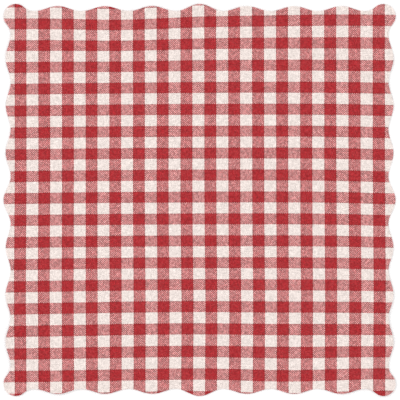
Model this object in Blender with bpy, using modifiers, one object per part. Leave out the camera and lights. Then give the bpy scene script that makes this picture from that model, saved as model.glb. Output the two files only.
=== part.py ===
"""Scalloped gingham tablecloth, laid flat on a table top.

A checked face cloth with its edge turned under, a facing of the same cloth in four mitred strips
that finishes the scallops from below, and the seams that hold them together. Metres, +Z up, the
table top at z = 0, the origin under the middle of the cloth and +Y towards its back edge.
"""

import math

import bmesh
import bpy
from mathutils import Vector

# The outline. Crests are its outermost points, and valleys the innermost points between lobes.
CLOTH_WIDTH = 0.838  # along X, crest to crest of the corner lobes
CLOTH_LENGTH = 0.838  # along Y, the same
LOBES_ACROSS = 7  # on the front and back edges, between the corner lobes
LOBES_ALONG = 7  # on the left and right edges
LOBE_DEPTH = 0.0107  # valley to crest of an ordinary lobe
TALL_LOBE_DEPTH = 0.0154  # valley to crest of each edge's middle lobe and of the corner lobes
CORNER_RADIUS = 0.026  # the round of a corner lobe
CORNER_REACH = 0.0653  # from a corner's crest line to the first valley beside it

# The cloth and the thread.
FACE_THICKNESS = 0.00045
FACING_THICKNESS = 0.00035
FACING_WIDTH = 0.045  # from the valleys to the facing's inner edge
FACING_SET_BACK = 0.0008  # the facing is rolled this far under the face cloth's edge
SEAM_ALLOWANCE = 0.006  # turned in all round, on the face cloth and on the facing
THREAD = 0.0003  # diameter of the sewing thread
EDGE_SEAM_INSET = 0.0015  # the edge seam's distance inside the outline

# Clearances.
FOLD_GAP = 0.0001  # between the two plies of one turned edge
PLY_GAP = 0.0003  # between two pieces that touch
RIDGE_SHOULDER = 0.0015  # past the turned edges the face cloth stays high for this far
RIDGE_RUN = 0.005  # and then comes down onto the facing over this length
FACING_STEP_RUN = 0.010  # beyond the facing it comes down onto the table over this length
STEP_START = 0.003  # and this far past the facing's inner edge
INNER_CORNER_RADIUS = 0.006  # the round of that step's corners

# How finely the outline is cut into straight pieces.
STEPS_PER_LOBE = 8
STEPS_PER_CORNER_ARC = 4  # on each half of a corner's round
STEPS_PER_FILLET = 2  # on the hollow arc from a corner's round to its first valley

HALF_WIDTH = CLOTH_WIDTH / 2
HALF_LENGTH = CLOTH_LENGTH / 2
FACING_EDGE = TALL_LOBE_DEPTH + FACING_WIDTH  # crest line to the facing's inner edge
STEPS_PER_CORNER = STEPS_PER_CORNER_ARC + STEPS_PER_FILLET

# Heights of the plies' middle surfaces, from the table up. The edge seam lies between the two
# turned allowances.
FACING_Z = FACING_THICKNESS / 2
FACING_ALLOWANCE_Z = FACING_Z + FACING_THICKNESS + FOLD_GAP
EDGE_SEAM_Z = FACING_ALLOWANCE_Z + FACING_THICKNESS / 2 + PLY_GAP + THREAD / 2
FACE_ALLOWANCE_Z = EDGE_SEAM_Z + THREAD / 2 + PLY_GAP + FACE_THICKNESS / 2
FACE_RIDGE_Z = FACE_ALLOWANCE_Z + FACE_THICKNESS + FOLD_GAP
FACE_ON_FACING_Z = FACING_THICKNESS + PLY_GAP + FACE_THICKNESS / 2
FACE_ON_TABLE_Z = FACE_THICKNESS / 2


def clear_scene():
    for obj in list(bpy.data.objects):
        bpy.data.objects.remove(obj, do_unlink=True)


def make_collection(name):
    collection = bpy.data.collections.new(name)
    bpy.context.scene.collection.children.link(collection)
    return collection


def make_material(name, color, roughness):
    material = bpy.data.materials.new(name)
    material.use_nodes = True
    shader = material.node_tree.nodes["Principled BSDF"]
    shader.inputs["Base Color"].default_value = (*color, 1.0)
    shader.inputs["Roughness"].default_value = roughness
    shader.inputs["Metallic"].default_value = 0.0
    return material


def make_gingham(name):
    """The red and white check, as its average colour."""
    return make_material(name, (0.60, 0.25, 0.24), 0.85)


def make_thread_cotton():
    """Off-white sewing cotton."""
    return make_material("thread_cotton", (0.82, 0.76, 0.70), 0.6)


# --- The outline ---------------------------------------------------------------------------


def lobe_run(half_side, lobes):
    """Points along one edge's lobes, as (distance along the edge from its middle, depth below the
    crest line, slope of that depth). The lobes are cosine waves, so they meet smoothly."""
    pitch = 2 * (half_side - CORNER_REACH) / lobes
    points = []
    for step in range(lobes * STEPS_PER_LOBE + 1):
        along = step / STEPS_PER_LOBE
        lobe = min(int(along), lobes - 1)
        height = TALL_LOBE_DEPTH if 2 * lobe + 1 == lobes else LOBE_DEPTH
        turn = 2 * math.pi * (along - lobe)
        rise = height * (1 - math.cos(turn)) / 2
        slope = -height * math.pi / pitch * math.sin(turn)
        points.append(((along - lobes / 2) * pitch, TALL_LOBE_DEPTH - rise, slope))
    return points


def corner_run():
    """Points of half a corner lobe, from its first valley to its diagonal, as (distance from one
    crest line, distance from the other, outward direction). The round is an arc that touches both
    crest lines, and a hollow arc joins it to the valley."""
    reach = CORNER_REACH - CORNER_RADIUS
    drop = CORNER_RADIUS - TALL_LOBE_DEPTH
    fillet = (reach**2 + drop**2 - CORNER_RADIUS**2) / (2 * TALL_LOBE_DEPTH)
    centre = Vector((CORNER_RADIUS, CORNER_RADIUS))
    fillet_centre = Vector((CORNER_REACH, TALL_LOBE_DEPTH - fillet))
    between = (fillet_centre - centre).normalized()
    touch = math.atan2(between.y, between.x)
    points = []
    for step in range(1, STEPS_PER_FILLET):
        angle = math.pi / 2 + (touch + math.pi / 2) * step / STEPS_PER_FILLET
        inward = Vector((math.cos(angle), math.sin(angle)))
        points.append((fillet_centre + fillet * inward, -inward))
    diagonal = -3 * math.pi / 4
    for step in range(STEPS_PER_CORNER_ARC + 1):
        angle = touch + (diagonal - touch) * step / STEPS_PER_CORNER_ARC
        outward = Vector((math.cos(angle), math.sin(angle)))
        points.append((centre + CORNER_RADIUS * outward, outward))
    return points


def edge_points(half_side, half_across, lobes):
    """One edge of the outline from diagonal to diagonal, as (point, outward direction), for an
    edge that lies half_across below the middle and runs from left to right."""
    corner = corner_run()
    right = [
        (Vector((half_side - p.x, p.y - half_across)), Vector((-out.x, out.y)))
        for p, out in corner
    ]
    left = [(Vector((-p.x, p.y)), Vector((-out.x, out.y))) for p, out in right]
    middle = [
        (Vector((along, depth - half_across)), Vector((slope, -1)).normalized())
        for along, depth, slope in lobe_run(half_side, lobes)
    ]
    return left[::-1] + middle + right


def quarter_turned(points, quarters):
    """The points turned round the middle by so many quarter turns, anticlockwise from above."""
    for _ in range(quarters):
        points = [Vector((-p.y, p.x)) for p in points]
    return points


# Each edge of the cloth, in order anticlockwise from the front, with its half length, its
# distance from the middle and its number of lobes.
EDGES = (
    ("front", HALF_WIDTH, HALF_LENGTH, LOBES_ACROSS),
    ("right", HALF_LENGTH, HALF_WIDTH, LOBES_ALONG),
    ("back", HALF_WIDTH, HALF_LENGTH, LOBES_ACROSS),
    ("left", HALF_LENGTH, HALF_WIDTH, LOBES_ALONG),
)


def scallop_edge(quarters, inset):
    """The outline along one edge, from diagonal to diagonal, moved in by inset."""
    _, half_side, half_across, lobes = EDGES[quarters]
    points = [
        point - inset * outward
        for point, outward in edge_points(half_side, half_across, lobes)
    ]
    return quarter_turned(points, quarters)


def rounded_edge(quarters, inset):
    """A straight edge with half a rounded corner at each end, in as many points as the outline."""
    _, half_side, half_across, lobes = EDGES[quarters]
    run = half_side - inset - INNER_CORNER_RADIUS
    base = inset - half_across
    steps = lobes * STEPS_PER_LOBE
    middle = [
        Vector((run * (2 * step / steps - 1), base)) for step in range(steps + 1)
    ]
    right = []
    for step in range(1, STEPS_PER_CORNER + 1):
        angle = math.pi / 4 * step / STEPS_PER_CORNER
        along = run + INNER_CORNER_RADIUS * math.sin(angle)
        across = base + INNER_CORNER_RADIUS * (1 - math.cos(angle))
        right.append(Vector((along, across)))
    left = [Vector((-p.x, p.y)) for p in right]
    return quarter_turned(left[::-1] + middle + right, quarters)


def closed_ring(edge, inset):
    """All four edges joined at their diagonals into one ring."""
    return [point for quarters in range(4) for point in edge(quarters, inset)[:-1]]


# --- Sheets --------------------------------------------------------------------------------


def trimmed_at_mitres(points, quarters):
    """An edge's points with both ends drawn back from the diagonals, to leave the mitre seam's
    room."""
    clearance = PLY_GAP + THREAD / 2
    points = quarter_turned(points, 4 - quarters)
    _, half_side, half_across, _ = EDGES[quarters]

    def past_diagonal(point):
        return ((half_side - abs(point.x)) - (half_across + point.y)) / math.sqrt(2)

    for end, inner in ((0, 1), (-1, -2)):
        near = past_diagonal(points[end])
        far = past_diagonal(points[inner])
        share = (clearance - near) / (far - near)
        points[end] = points[end].lerp(points[inner], share)
    return quarter_turned(points, quarters)


def lofted_sheet(name, rings, thickness, closed, material, collection):
    """A sheet of cloth through rings of (points, height), each ring with as many points as the
    others. A closed sheet is filled inside its last ring."""
    mesh = bpy.data.meshes.new(name)
    shape = bmesh.new()
    rows = [
        [shape.verts.new((point.x, point.y, height)) for point in points]
        for points, height in rings
    ]
    count = len(rows[0])
    for outer, inner in zip(rows, rows[1:]):
        for i in range(count if closed else count - 1):
            j = (i + 1) % count
            shape.faces.new((outer[i], outer[j], inner[j], inner[i]))
    if closed:
        shape.faces.new(rows[-1])
    shape.to_mesh(mesh)
    shape.free()
    obj = bpy.data.objects.new(name, mesh)
    mesh.materials.append(material)
    collection.objects.link(obj)
    body = obj.modifiers.new("thickness", "SOLIDIFY")
    body.thickness = thickness
    body.offset = 0
    body.use_even_offset = True
    body.use_quality_normals = True
    return obj


def make_face_cloth(material, collection):
    """The checked cloth: its edge is turned under, and it steps down from the seam's ridge to the
    facing, and from the facing to the table."""
    fold = FACE_THICKNESS / 2
    ridge_end = SEAM_ALLOWANCE + RIDGE_SHOULDER
    step_start = FACING_EDGE + STEP_START
    rings = [
        (closed_ring(scallop_edge, SEAM_ALLOWANCE), FACE_ALLOWANCE_Z),
        (closed_ring(scallop_edge, fold), FACE_ALLOWANCE_Z),
        (closed_ring(scallop_edge, fold), FACE_RIDGE_Z),
        (closed_ring(scallop_edge, ridge_end), FACE_RIDGE_Z),
        (closed_ring(scallop_edge, ridge_end + RIDGE_RUN), FACE_ON_FACING_Z),
        (closed_ring(rounded_edge, step_start), FACE_ON_FACING_Z),
        (closed_ring(rounded_edge, step_start + FACING_STEP_RUN), FACE_ON_TABLE_Z),
    ]
    return lofted_sheet(
        "face_cloth", rings, FACE_THICKNESS, True, material, collection
    )


def make_facing(quarters, material, collection):
    """One edge's facing strip, mitred at both ends, with its outer edge turned in."""
    name, half_side, half_across, _ = EDGES[quarters]
    fold = FACING_SET_BACK + FACING_THICKNESS / 2
    outer = scallop_edge(quarters, fold)
    count = len(outer)
    reach = half_side - FACING_EDGE
    inner = quarter_turned(
        [
            Vector((reach * (2 * i / (count - 1) - 1), FACING_EDGE - half_across))
            for i in range(count)
        ],
        quarters,
    )
    turned = scallop_edge(quarters, FACING_SET_BACK + SEAM_ALLOWANCE)
    rings = [
        (trimmed_at_mitres(inner, quarters), FACING_Z),
        (trimmed_at_mitres(outer, quarters), FACING_Z),
        (trimmed_at_mitres(outer, quarters), FACING_ALLOWANCE_Z),
        (trimmed_at_mitres(turned, quarters), FACING_ALLOWANCE_Z),
    ]
    return lofted_sheet(
        f"facing_{name}", rings, FACING_THICKNESS, False, material, collection
    )


# --- Seams ---------------------------------------------------------------------------------


def make_thread(name, points, height, cyclic, material, collection):
    """A row of stitches as one length of thread, lying at that height."""
    data = bpy.data.curves.new(name, "CURVE")
    data.dimensions = "3D"
    data.bevel_depth = THREAD / 2
    data.bevel_resolution = 0
    data.use_fill_caps = True
    spline = data.splines.new("POLY")
    spline.points.add(len(points) - 1)
    for spot, point in zip(spline.points, points):
        spot.co = (point.x, point.y, height, 1)
    spline.use_cyclic_u = cyclic
    obj = bpy.data.objects.new(name, data)
    data.materials.append(material)
    collection.objects.link(obj)
    return obj


def make_edge_seam(material, collection):
    """The seam round the whole outline, between the two turned allowances."""
    points = closed_ring(scallop_edge, EDGE_SEAM_INSET)
    return make_thread("edge_seam", points, EDGE_SEAM_Z, True, material, collection)


def make_hem_stitch(quarters, material, collection):
    """The slip stitching that holds a facing's inner edge to the face cloth."""
    name, half_side, half_across, _ = EDGES[quarters]
    beside = FACING_EDGE + PLY_GAP + THREAD / 2
    reach = half_side - beside - PLY_GAP - THREAD
    ends = [Vector((side * reach, beside - half_across)) for side in (-1, 1)]
    return make_thread(
        f"hem_stitch_{name}",
        quarter_turned(ends, quarters),
        THREAD / 2,
        False,
        material,
        collection,
    )


def make_mitre_seam(quarters, material, collection):
    """The seam that joins two facing strips at the corner after an edge, along the diagonal."""
    _, half_side, half_across, _ = EDGES[quarters]
    corner = Vector((half_side, -half_across))
    inward = Vector((-1, 1))
    round_edge = CORNER_RADIUS * (1 - 1 / math.sqrt(2))
    outer = round_edge + FACING_SET_BACK + FACING_THICKNESS
    ends = [corner + inward * outer, corner + inward * (FACING_EDGE - PLY_GAP - THREAD)]
    name = f"{EDGES[quarters][0]}_{EDGES[(quarters + 1) % 4][0]}"
    return make_thread(
        f"mitre_seam_{name}",
        quarter_turned(ends, quarters),
        THREAD / 2,
        False,
        material,
        collection,
    )


def main():
    clear_scene()
    parts = make_collection("scalloped_tablecloth")
    facing = make_gingham("facing_gingham")
    thread = make_thread_cotton()
    make_face_cloth(make_gingham("face_gingham"), parts)
    make_edge_seam(thread, parts)
    for quarters in range(len(EDGES)):
        make_facing(quarters, facing, parts)
        make_hem_stitch(quarters, thread, parts)
        make_mitre_seam(quarters, thread, parts)


main()
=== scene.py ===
"""The finished look of a scalloped gingham tablecloth that lies flat on a table.

The cloth settles on the table by simulation. The face cloth, its facing and its stitches are then
made along the same outline as the solid model's, and follow the settled cloth's height. Metres, +Z
up, the table top at z = 0.
"""

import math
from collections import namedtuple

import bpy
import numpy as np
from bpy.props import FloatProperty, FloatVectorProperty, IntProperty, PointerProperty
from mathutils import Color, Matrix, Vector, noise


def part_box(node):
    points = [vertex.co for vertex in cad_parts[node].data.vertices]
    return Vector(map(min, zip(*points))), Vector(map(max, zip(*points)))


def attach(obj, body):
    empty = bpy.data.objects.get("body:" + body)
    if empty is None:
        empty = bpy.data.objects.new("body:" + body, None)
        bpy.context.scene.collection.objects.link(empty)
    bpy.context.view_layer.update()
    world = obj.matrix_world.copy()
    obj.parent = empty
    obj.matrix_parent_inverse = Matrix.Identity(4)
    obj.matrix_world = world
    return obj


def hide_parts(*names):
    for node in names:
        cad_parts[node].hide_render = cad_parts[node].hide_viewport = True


bl_info = {
    "name": "Scalloped Gingham Tablecloth",
    "version": (1, 0, 0),
    "blender": (4, 5, 0),
    "location": "3D View > Sidebar > Tablecloth",
    "description": "Makes a faced tablecloth of woven gingham, its stitching and a stage for it",
    "category": "Add Mesh",
}

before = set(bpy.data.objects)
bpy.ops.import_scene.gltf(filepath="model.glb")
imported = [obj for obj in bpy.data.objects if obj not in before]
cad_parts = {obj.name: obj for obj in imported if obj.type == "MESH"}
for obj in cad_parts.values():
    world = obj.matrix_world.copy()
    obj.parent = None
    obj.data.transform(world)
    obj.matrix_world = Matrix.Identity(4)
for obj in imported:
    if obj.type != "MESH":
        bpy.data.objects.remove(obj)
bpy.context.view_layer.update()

FACE_LOW, FACE_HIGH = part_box("face_cloth")
SIDES = ("front", "right", "back", "left")  # in order anticlockwise, seen from above
SETTLED = "settled_cloth"  # the mesh that holds the simulated cloth's heights
FLAT = "flat_cloth"  # the attribute that holds each point's place on the flat cut cloth


# --- What a user may change ----------------------------------------------------------------


def length(name, description, default):
    return FloatProperty(
        name=name,
        description=description,
        default=default,
        min=0.0,
        unit="LENGTH",
        precision=5,
    )


def shift(name, description, default):
    return FloatProperty(
        name=name, description=description, default=default, unit="LENGTH", precision=5
    )


def colour(name, description, default):
    return FloatVectorProperty(
        name=name,
        description=description,
        default=default,
        subtype="COLOR",
        min=0.0,
        max=1.0,
    )


def number(name, description, default):
    return IntProperty(name=name, description=description, default=default, min=1)


class TableclothSizes(bpy.types.PropertyGroup):
    """The cloth's outline, layers and stitches."""

    width: length(
        "Width", "From crest to crest along X", round(FACE_HIGH.x - FACE_LOW.x, 4)
    )
    length: length(
        "Length", "From crest to crest along Y", round(FACE_HIGH.y - FACE_LOW.y, 4)
    )
    lobes: number("Lobes", "Lobes on each edge, between the corner lobes", 7)
    lobe_depth: length("Lobe depth", "Valley to crest of an ordinary lobe", 0.0107)
    tall_lobe_depth: length(
        "Tall lobe depth", "The same for middle and corner lobes", 0.0154
    )
    corner_radius: length("Corner radius", "The round of a corner lobe", 0.026)
    corner_reach: length(
        "Corner reach", "Crest line to the first valley beside a corner", 0.0653
    )
    face_thickness: length("Face thickness", "One ply of the face cloth", 0.00045)
    facing_thickness: length("Facing thickness", "One ply of the facing", 0.00035)
    facing_width: length(
        "Facing width", "From the valleys to the facing's inner edge", 0.045
    )
    set_back: length(
        "Set back", "How far the facing is rolled under the edge", 0.0008
    )
    allowance: length(
        "Seam allowance", "Turned in round the edge, on both cloths", 0.006
    )
    hem: length("Facing hem", "Turned in along the facing's inner edge", 0.005)
    thread: length("Thread", "Diameter of the sewing thread", 0.0003)
    edge_stitch: length("Edge stitch", "Length of one stitch of the edge seam", 0.0025)
    hem_stitch: length("Hem stitch", "From one slip stitch to the next", 0.007)
    mitre_stitch: length("Mitre stitch", "From one stitch of a mitre to the next", 0.004)
    ripple: length("Ripple", "Height of the highest ripple of the laid cloth", 0.0032)
    curl: length("Curl", "The most that a lobe's tip lifts off the table", 0.0016)
    pucker: length("Pucker", "Height of the small puckers along the seam", 0.00022)


class TableclothWeave(bpy.types.PropertyGroup):
    """The gingham: its check, its basket weave and how far it is eased out of square."""

    check_width: length("Check width", "One check along X", 0.02547)
    check_height: length("Check height", "One check along Y", 0.02343)
    bundles: number("Bundles", "Bundles of threads in one check, each way", 11)
    threads: number("Threads", "Threads in one bundle", 4)
    white_column: shift(
        "White column", "Where the middle white column's centre is", -0.0021
    )
    red_row: shift("Red row", "Where the middle red row's centre is", 0.0064)
    row_skew: shift("Row skew", "Rise of the rows from middle to right edge", 0.0015)
    row_bow: shift("Row bow", "Drop of the rows' ends below their middle", 0.0022)
    row_drag: shift("Row drag", "Drop of the front and back rows", 0.0022)
    row_stretch: shift("Row stretch", "Stretch from the middle to the back", 0.0007)
    row_spread: shift("Row spread", "Extra spread of the front and back rows", 0.0017)
    row_lift: shift("Row lift", "Rise of the right-hand ends at front and back", 0.0019)
    column_lean: shift("Column lean", "Lean of the columns to the front right", 0.0008)
    column_bow: shift("Column bow", "Shift of the outer columns to the right", 0.0029)
    column_twist: shift("Column twist", "More of it at the back than in front", 0.0007)
    column_spread: shift("Column spread", "Extra spread of the outer columns", 0.0011)


class TableclothColours(bpy.types.PropertyGroup):
    """Dyes, thread and stage."""

    white: colour("White", "Undyed threads", (0.786, 0.694, 0.652))
    red: colour("Red", "Dyed threads", (0.3687, 0.0191, 0.0247))
    # Painted light: white threads where they cross red ones get painted shade and a painted red
    # reflection in their colour
    blend: colour(
        "White over red", "Undyed threads where they cross dyed ones", (0.62, 0.345, 0.332)
    )
    # Painted light: red threads where they cross white ones are lightened by a painted reflection
    # of the white yarn
    red_painted_white_reflection: colour(
        "Red over white", "Dyed threads where they cross undyed ones", (0.409, 0.058, 0.0633)
    )
    sewing: colour("Sewing cotton", "The thread of every seam", (0.72, 0.63, 0.58))
    floor: colour("Floor", "The table top under the cloth", (0.93, 0.93, 0.93))


class TableclothStage(bpy.types.PropertyGroup):
    """Camera and light."""

    view_width: length("View width", "How much of the table the camera sees", 0.8555)
    camera_x: shift("Camera X", "The camera's place to the right of the middle", 0.0009)
    lens: FloatProperty(
        name="Lens", description="Focal length", default=135.0, unit="CAMERA"
    )
    sky: FloatProperty(
        name="Sky", description="Brightness of the even light", default=1.1, min=0.0
    )
    softbox: FloatProperty(
        name="Softbox", description="Power of the soft side light", default=70.0, min=0.0
    )


SETTINGS = {
    "tablecloth_sizes": TableclothSizes,
    "tablecloth_weave": TableclothWeave,
    "tablecloth_colours": TableclothColours,
    "tablecloth_stage": TableclothStage,
}


# --- Outline -------------------------------------------------------------------------------
# One edge is worked out as if it were the front one: x runs along it from left to right, y is
# negative, and the rows of points go from the left diagonal to the right one. It is then turned
# round to its own side.

STEPS_PER_LOBE = 20
STEPS_PER_CORNER_ARC = 6
STEPS_PER_FILLET = 5
ARC_SQUEEZE = 0.003  # a straight row's length beside a corner lobe's arc
FILLET_SQUEEZE = 0.016  # and as far as the first valley
UNSQUEEZED = 0.14  # rows are evenly spread beyond this distance from the side


def half_sides(sizes, side):
    """Half the length of that side, and its distance from the middle."""
    halves = (sizes.width / 2, sizes.length / 2)
    return halves if SIDES.index(side) % 2 == 0 else halves[::-1]


def to_side(points, side):
    """Points of the front edge, an (n, 2) array, turned round to their own side."""
    for _ in range(SIDES.index(side)):
        points = np.stack([-points[:, 1], points[:, 0]], axis=1)
    return points


def lobe_run(sizes, half_side):
    """The lobes: distance along, depth below the crest line, and slope of that depth."""
    lobes = sizes.lobes
    pitch = 2 * (half_side - sizes.corner_reach) / lobes
    turns = np.arange(lobes * STEPS_PER_LOBE + 1) / STEPS_PER_LOBE
    lobe = np.minimum(turns.astype(int), lobes - 1)
    height = np.where(2 * lobe + 1 == lobes, sizes.tall_lobe_depth, sizes.lobe_depth)
    angle = 2 * math.pi * (turns - lobe)
    depth = sizes.tall_lobe_depth - height * (1 - np.cos(angle)) / 2
    slope = -height * math.pi / pitch * np.sin(angle)
    return (turns - lobes / 2) * pitch, depth, slope


def corner_run(sizes):
    """Half a corner lobe, from its first valley to its diagonal: distances from the two crest
    lines, and the outward direction."""
    radius, valley = sizes.corner_radius, sizes.tall_lobe_depth
    reach, drop = sizes.corner_reach - radius, radius - valley
    fillet = (reach**2 + drop**2 - radius**2) / (2 * valley)
    centre = np.array([radius, radius])
    fillet_centre = np.array([sizes.corner_reach, valley - fillet])
    across, down = fillet_centre - centre
    touch = math.atan2(down, across)
    hollow = np.linspace(math.pi / 2, touch + math.pi, STEPS_PER_FILLET + 1)[1:-1]
    inward = np.stack([np.cos(hollow), np.sin(hollow)], axis=1)
    arc = np.linspace(touch, -3 * math.pi / 4, STEPS_PER_CORNER_ARC + 1)
    outward = np.stack([np.cos(arc), np.sin(arc)], axis=1)
    points = np.concatenate([fillet_centre + fillet * inward, centre + radius * outward])
    return points, np.concatenate([-inward, outward])


def front_edge(sizes, side):
    """The outline and its outward directions along one edge, as the front edge."""
    half_side, half_across = half_sides(sizes, side)
    corner, out = corner_run(sizes)
    right = np.stack([half_side - corner[:, 0], corner[:, 1] - half_across], axis=1)
    right_out = np.stack([-out[:, 0], out[:, 1]], axis=1)
    along, depth, slope = lobe_run(sizes, half_side)
    middle = np.stack([along, depth - half_across], axis=1)
    middle_out = np.stack([slope, -np.ones_like(slope)], axis=1)
    middle_out /= np.linalg.norm(middle_out, axis=1, keepdims=True)
    flip = np.array([-1, 1])
    return (
        np.concatenate([right[::-1] * flip, middle, right]),
        np.concatenate([right_out[::-1] * flip, middle_out, right_out]),
    )


# A row of points parallel to an edge. It lies between the outline moved in by inset and a
# straight line moved in by straight_inset, at that share of the way.
Row = namedtuple("Row", "inset straight_inset straightness")

MORE_INSET = 0.007  # rows move in by this much as they straighten, so that they never cross


def scalloped(inset):
    return Row(inset, 0.0, 0.0)


def straight(inset):
    return Row(0.0, inset, 1.0)


def row_points(sizes, side, row):
    points, outward = front_edge(sizes, side)
    half_side, half_across = half_sides(sizes, side)
    curved = points - row.inset * outward
    start = row.straight_inset
    from_side = half_side - np.abs(points[:, 0])
    arc_end = from_side[-1 - STEPS_PER_CORNER_ARC]
    squeezed = np.interp(
        from_side,
        (from_side[-1], arc_end, sizes.corner_reach, UNSQUEEZED),
        (start, start + ARC_SQUEEZE, start + FILLET_SQUEEZE, UNSQUEEZED),
    )
    placed = np.where(from_side > UNSQUEEZED, from_side, squeezed)
    along = np.copysign(half_side - placed, points[:, 0])
    even = np.stack([along, np.full(len(points), start - half_across)], axis=1)
    return curved + (even - curved) * row.straightness


def smooth(t):
    return t * t * (3 - 2 * t)


# --- The laid cloth ------------------------------------------------------------------------

SHEET_CELLS = 90  # each way, in the coarse sheet that is simulated
SHEET_MARGIN = 1.02  # its size, as a share of the cloth's
CLOTH_MASS = 0.155
SETTLING_TABLE = 3.0
SETTLING_GAP = 0.001  # between the coarse sheet and that table
SETTLING_FRAMES = 36
START_LIFT = 0.004
START_WAVE = 0.0085
WAVE_SCALES = ((5.0, 1.0), (11.0, 0.45), (21.0, 0.16))  # waves per metre, and their share
FLAT_SHARE = 0.25  # this share of the settled cloth lies flat on the table
SOFTENING_PASSES = 3
CURL_REACH = 2.2  # how far in from the edge lobes curl, in depths of a tall lobe
CURL_WAVES, CURL_SEED = 9, 3.7  # how quickly the curl changes along the edge, per metre
CURL_MEAN, CURL_VARIES = 0.35, 1.6  # shares of the full curl
PUCKER_REACH = 0.045
PUCKER_WAVES, PUCKER_SEED = 75, 8.1


def wander(points, waves, seed):
    """Smooth uneven values from -1 to 1 at (n, 2) points, with that many waves per metre."""
    return np.array([noise.noise(Vector((x * waves, y * waves, seed))) for x, y in points])


def sheet_grid(sizes):
    """x and y of the coarse sheet's points, as one line of points each way."""
    line = np.linspace(-0.5, 0.5, SHEET_CELLS + 1)
    return line * sizes.width * SHEET_MARGIN, line * sizes.length * SHEET_MARGIN


def start_heights(x, y):
    """Gentle uneven waves, as the cloth has when it is thrown over the table."""
    grid = np.stack(np.meshgrid(x, y), axis=-1).reshape(-1, 2)
    heights = sum(part * wander(grid, scale, scale) for scale, part in WAVE_SCALES)
    heights = START_LIFT + START_WAVE * (heights - heights.min())
    return heights.reshape(len(y), len(x))


def sheet_mesh(name, x, y, heights):
    count = len(x)
    grid_x, grid_y = np.meshgrid(x, y)
    points = np.stack([grid_x.ravel(), grid_y.ravel(), heights.ravel()], axis=1)
    first = (np.arange(len(y) - 1)[:, None] * count + np.arange(count - 1)).ravel()
    faces = np.stack([first, first + 1, first + count + 1, first + count], axis=1)
    mesh = bpy.data.meshes.new(name)
    mesh.from_pydata(points.tolist(), [], faces.tolist())
    return mesh


def simulated(mesh):
    """The heights of the sheet after it has come to rest on the table."""
    scene = bpy.context.scene
    sheet = bpy.data.objects.new("settling_sheet", mesh)
    scene.collection.objects.link(sheet)
    bpy.ops.mesh.primitive_plane_add(size=SETTLING_TABLE)
    table = bpy.context.object
    table.modifiers.new("table", "COLLISION")
    table.collision.thickness_outer = SETTLING_GAP
    table.collision.cloth_friction = 60
    cloth = sheet.modifiers.new("settling", "CLOTH")
    cloth.settings.quality = 8
    cloth.settings.mass = CLOTH_MASS / len(mesh.vertices)
    cloth.settings.tension_stiffness = 12
    cloth.settings.compression_stiffness = 12
    cloth.settings.shear_stiffness = 6
    cloth.settings.bending_stiffness = 0.08
    cloth.settings.air_damping = 2
    cloth.collision_settings.distance_min = SETTLING_GAP
    cloth.point_cache.frame_end = SETTLING_FRAMES
    for step in range(1, SETTLING_FRAMES + 1):
        scene.frame_set(step)
    rested = sheet.evaluated_get(bpy.context.evaluated_depsgraph_get()).data
    heights = np.array([v.co.z for v in rested.vertices])
    scene.frame_set(1)
    bpy.data.objects.remove(sheet)
    bpy.data.objects.remove(table)
    return heights


def softened(heights):
    """Heights averaged with their neighbours, to take out the sheet's own grid."""
    for _ in range(SOFTENING_PASSES):
        padded = np.pad(heights, 1, mode="edge")
        heights = (
            4 * heights
            + padded[:-2, 1:-1]
            + padded[2:, 1:-1]
            + padded[1:-1, :-2]
            + padded[1:-1, 2:]
        ) / 8
    return heights


def lie(sizes, points):
    """The laid cloth's height above the table at (n, 2) points."""
    if SETTLED not in bpy.data.meshes:
        raise RuntimeError("settle the cloth first")
    mesh = bpy.data.meshes[SETTLED]
    heights = np.zeros(len(mesh.vertices) * 3, np.float32)
    mesh.vertices.foreach_get("co", heights)
    heights = heights[2::3].reshape(SHEET_CELLS + 1, SHEET_CELLS + 1)
    x, y = sheet_grid(sizes)
    across = (points[:, 0] - x[0]) / (x[1] - x[0])
    up = (points[:, 1] - y[0]) / (y[1] - y[0])
    i = np.clip(across.astype(int), 0, SHEET_CELLS - 1)
    j = np.clip(up.astype(int), 0, SHEET_CELLS - 1)
    s, t = across - i, up - j
    near = heights[j, i] * (1 - s) + heights[j, i + 1] * s
    far = heights[j + 1, i] * (1 - s) + heights[j + 1, i + 1] * s
    return near * (1 - t) + far * t


def edge_lift(sizes, points):
    """How far the lobes curl up, and the small puckers that the edge seam draws."""
    inset = np.minimum(
        sizes.width / 2 - np.abs(points[:, 0]), sizes.length / 2 - np.abs(points[:, 1])
    )
    near_tip = np.clip(1 - inset / (CURL_REACH * sizes.tall_lobe_depth), 0, 1)
    near_seam = np.clip(1 - inset / PUCKER_REACH, 0, 1)
    curled = CURL_MEAN + CURL_VARIES * wander(points, CURL_WAVES, CURL_SEED)
    curl = sizes.curl * smooth(near_tip) * np.clip(curled, 0, 1)
    ruffle = wander(points, PUCKER_WAVES, PUCKER_SEED)
    return curl + sizes.pucker * near_seam * (1 + ruffle)


def laid_height(sizes, points):
    return lie(sizes, points) + edge_lift(sizes, points)


# --- Layers --------------------------------------------------------------------------------
# Heights of the middles of the plies above the table, where the cloth lies flat on it.

LOFT = 0.0001  # air between two plies
AIR_UNDER_FACE = 0.00003
AIR_UNDER_FACING = 0.00013
FOLD_STEPS = 5
TURNED_PARTS = (1.0, 0.6, 0.25)  # where the rows of a turned-in allowance lie, raw edge first
RIDGE_INSETS = (0.0012, 0.003, 0.005)  # rows along the top of the edge ridge
SHOULDER = 0.0012  # the ridge ends this far inside the raw edges
RIDGE_SLOPE, RIDGE_STEPS = 0.006, 5  # and the face comes down to the facing over this width
STRAIGHTENING_ROWS = 7  # on the face cloth, from scalloped to straight
UP_TO_HEM = (0.004, 0.002)  # the face starts to rise, and is half up, this far before a hem
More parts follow.
